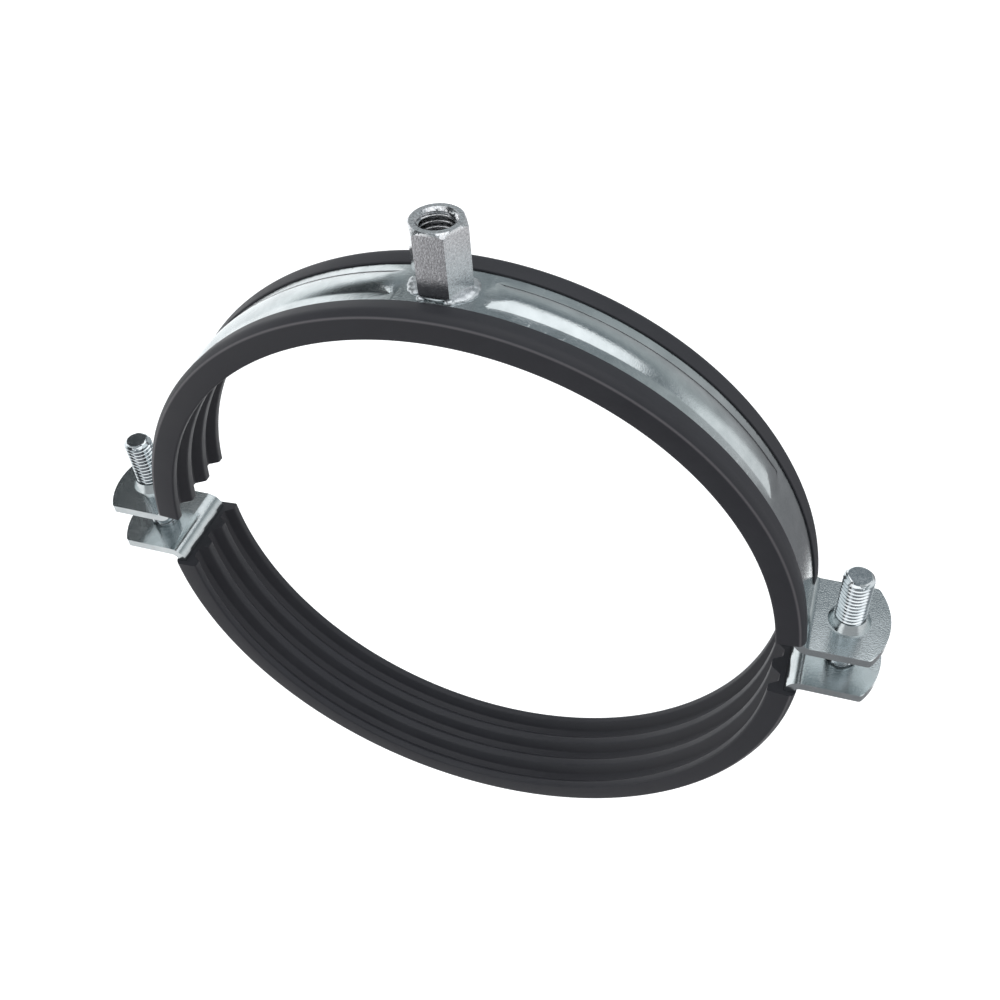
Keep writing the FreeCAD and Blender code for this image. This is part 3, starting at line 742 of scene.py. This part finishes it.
def floor_paint():
    """White paint that the camera and the metal see as white, and that still takes shadows."""
    material = bpy.data.materials.new("floor_paint")
    material.use_nodes = True
    tree = material.node_tree
    tree.nodes.remove(tree.nodes["Principled BSDF"])
    output = tree.nodes["Material Output"]
    paint = add_node(tree, "ShaderNodeBsdfDiffuse")
    paint.inputs["Color"].default_value = (FLOOR_WHITE, FLOOR_WHITE, FLOOR_WHITE, 1.0)
    path = add_node(tree, "ShaderNodeLightPath")
    seen = add_node(tree, "ShaderNodeMath", operation="MAXIMUM")
    tree.links.new(path.outputs["Is Camera Ray"], seen.inputs[0])
    tree.links.new(path.outputs["Is Glossy Ray"], seen.inputs[1])
    seen_through = add_node(tree, "ShaderNodeMath", operation="MAXIMUM")
    tree.links.new(seen.outputs["Value"], seen_through.inputs[0])
    tree.links.new(path.outputs["Is Transmission Ray"], seen_through.inputs[1])
    lift = add_node(tree, "ShaderNodeMath", operation="MULTIPLY")
    lift.inputs[1].default_value = FLOOR_LIFT
    tree.links.new(seen_through.outputs["Value"], lift.inputs[0])
    glow = add_node(tree, "ShaderNodeEmission")
    tree.links.new(lift.outputs["Value"], glow.inputs["Strength"])
    total = add_node(tree, "ShaderNodeAddShader")
    tree.links.new(paint.outputs["BSDF"], total.inputs[0])
    tree.links.new(glow.outputs["Emission"], total.inputs[1])
    tree.links.new(total.outputs["Shader"], output.inputs["Surface"])
    return material


def lay_floor():
    bpy.ops.object.select_all(action="DESELECT")
    bpy.ops.mesh.primitive_plane_add(size=1.0)
    floor = bpy.context.active_object
    floor.name = "studio_floor"
    left, right, front, back = FLOOR_SIDES
    floor.scale = (right - left, back - front, 1.0)
    floor.location = ((left + right) / 2, (front + back) / 2, FLOOR_HEIGHT)
    apply_place(floor)
    dress(floor, floor_paint())


def soft_step(tree, value, start, end):
    """A mask that grows softly from 0 to 1 as the value goes from start to end."""
    edge = add_node(tree, "ShaderNodeMapRange", interpolation_type="SMOOTHSTEP")
    set_inputs(edge, From_Min=start, From_Max=end)
    tree.links.new(value, edge.inputs["Value"])
    return edge.outputs["Result"]


def between(tree, value, low, high, softness):
    """A mask that is 1 where the value lies between two limits, with soft edges."""
    rise = soft_step(tree, value, low - softness, low)
    fall = soft_step(tree, value, high + softness, high)
    return multiplied(tree, rise, fall)


def multiplied(tree, first, second):
    product = add_node(tree, "ShaderNodeMath", operation="MULTIPLY")
    tree.links.new(first, product.inputs[0])
    if isinstance(second, float):
        product.inputs[1].default_value = second
    else:
        tree.links.new(second, product.inputs[1])
    return product.outputs["Value"]


def light_studio():
    """A grey room with a pale screen at the left, a grey one at the right and a softbox overhead."""
    world = bpy.data.worlds.new("studio")
    world.use_nodes = True
    tree = world.node_tree
    place = add_node(tree, "ShaderNodeTexCoord")
    parts = add_node(tree, "ShaderNodeSeparateXYZ")
    tree.links.new(place.outputs["Generated"], parts.inputs["Vector"])
    across, along, up = (parts.outputs[axis] for axis in "XYZ")
    height = add_node(tree, "ShaderNodeMapRange")
    set_inputs(height, From_Min=-1.0, From_Max=1.0)
    tree.links.new(up, height.inputs["Value"])
    sky = add_node(tree, "ShaderNodeValToRGB")
    tree.links.new(height.outputs["Result"], sky.inputs["Fac"])
    ramp = sky.color_ramp
    ramp.elements.remove(ramp.elements[1])
    ramp.elements[0].position = SKY[0][0]
    ramp.elements[0].color = (*SKY[0][1], 1.0)
    for position, colour in SKY[1:]:
        ramp.elements.new(position).color = (*colour, 1.0)

    slopes = []
    for side in (across, along):
        slope = add_node(tree, "ShaderNodeMath", operation="DIVIDE")
        tree.links.new(side, slope.inputs[0])
        tree.links.new(up, slope.inputs[1])
        slopes.append(slope.outputs["Value"])
    above = between(tree, up, *OVERHEAD, OVERHEAD_SOFTNESS)
    box = multiplied(
        tree,
        between(tree, slopes[0], *BOX_ACROSS, BOX_SOFTNESS),
        between(tree, slopes[1], *BOX_ALONG, BOX_SOFTNESS),
    )
    box_glow = multiplied(tree, multiplied(tree, box, above), BOX_GLOW)

    left = soft_step(tree, across, *LEFT_EDGE)
    low_down = between(tree, up, *GLOW_HEIGHTS, GLOW_SOFTNESS)
    high_up = between(tree, up, *SHADE_HEIGHTS, SHADE_SOFTNESS)
    shade = multiplied(tree, multiplied(tree, left, high_up), -LEFT_SHADE)
    unshaded = add_node(tree, "ShaderNodeMath", operation="ADD")
    unshaded.inputs[1].default_value = 1.0
    tree.links.new(shade, unshaded.inputs[0])
    room = add_node(tree, "ShaderNodeVectorMath", operation="SCALE")
    tree.links.new(sky.outputs["Color"], room.inputs["Vector"])
    tree.links.new(unshaded.outputs["Value"], room.inputs["Scale"])
    left_glow = multiplied(tree, multiplied(tree, left, low_down), LEFT_GLOW)

    right = soft_step(tree, across, *RIGHT_EDGE)
    level = between(tree, up, *RIGHT_HEIGHTS, RIGHT_SOFTNESS)
    right_glow = multiplied(tree, multiplied(tree, right, level), RIGHT_GLOW)

    glows = add_node(tree, "ShaderNodeMath", operation="ADD")
    tree.links.new(left_glow, glows.inputs[0])
    tree.links.new(right_glow, glows.inputs[1])
    total = add_node(tree, "ShaderNodeMath", operation="ADD")
    tree.links.new(box_glow, total.inputs[0])
    tree.links.new(glows.outputs["Value"], total.inputs[1])
    light = add_node(tree, "ShaderNodeVectorMath", operation="ADD")
    tree.links.new(room.outputs["Vector"], light.inputs[0])
    tree.links.new(total.outputs["Value"], light.inputs[1])
    tree.links.new(light.outputs["Vector"], tree.nodes["Background"].inputs["Color"])
    bpy.context.scene.world = world


place_camera()
lay_floor()
light_studio()
bpy.context.scene.view_settings.view_transform = "Standard"
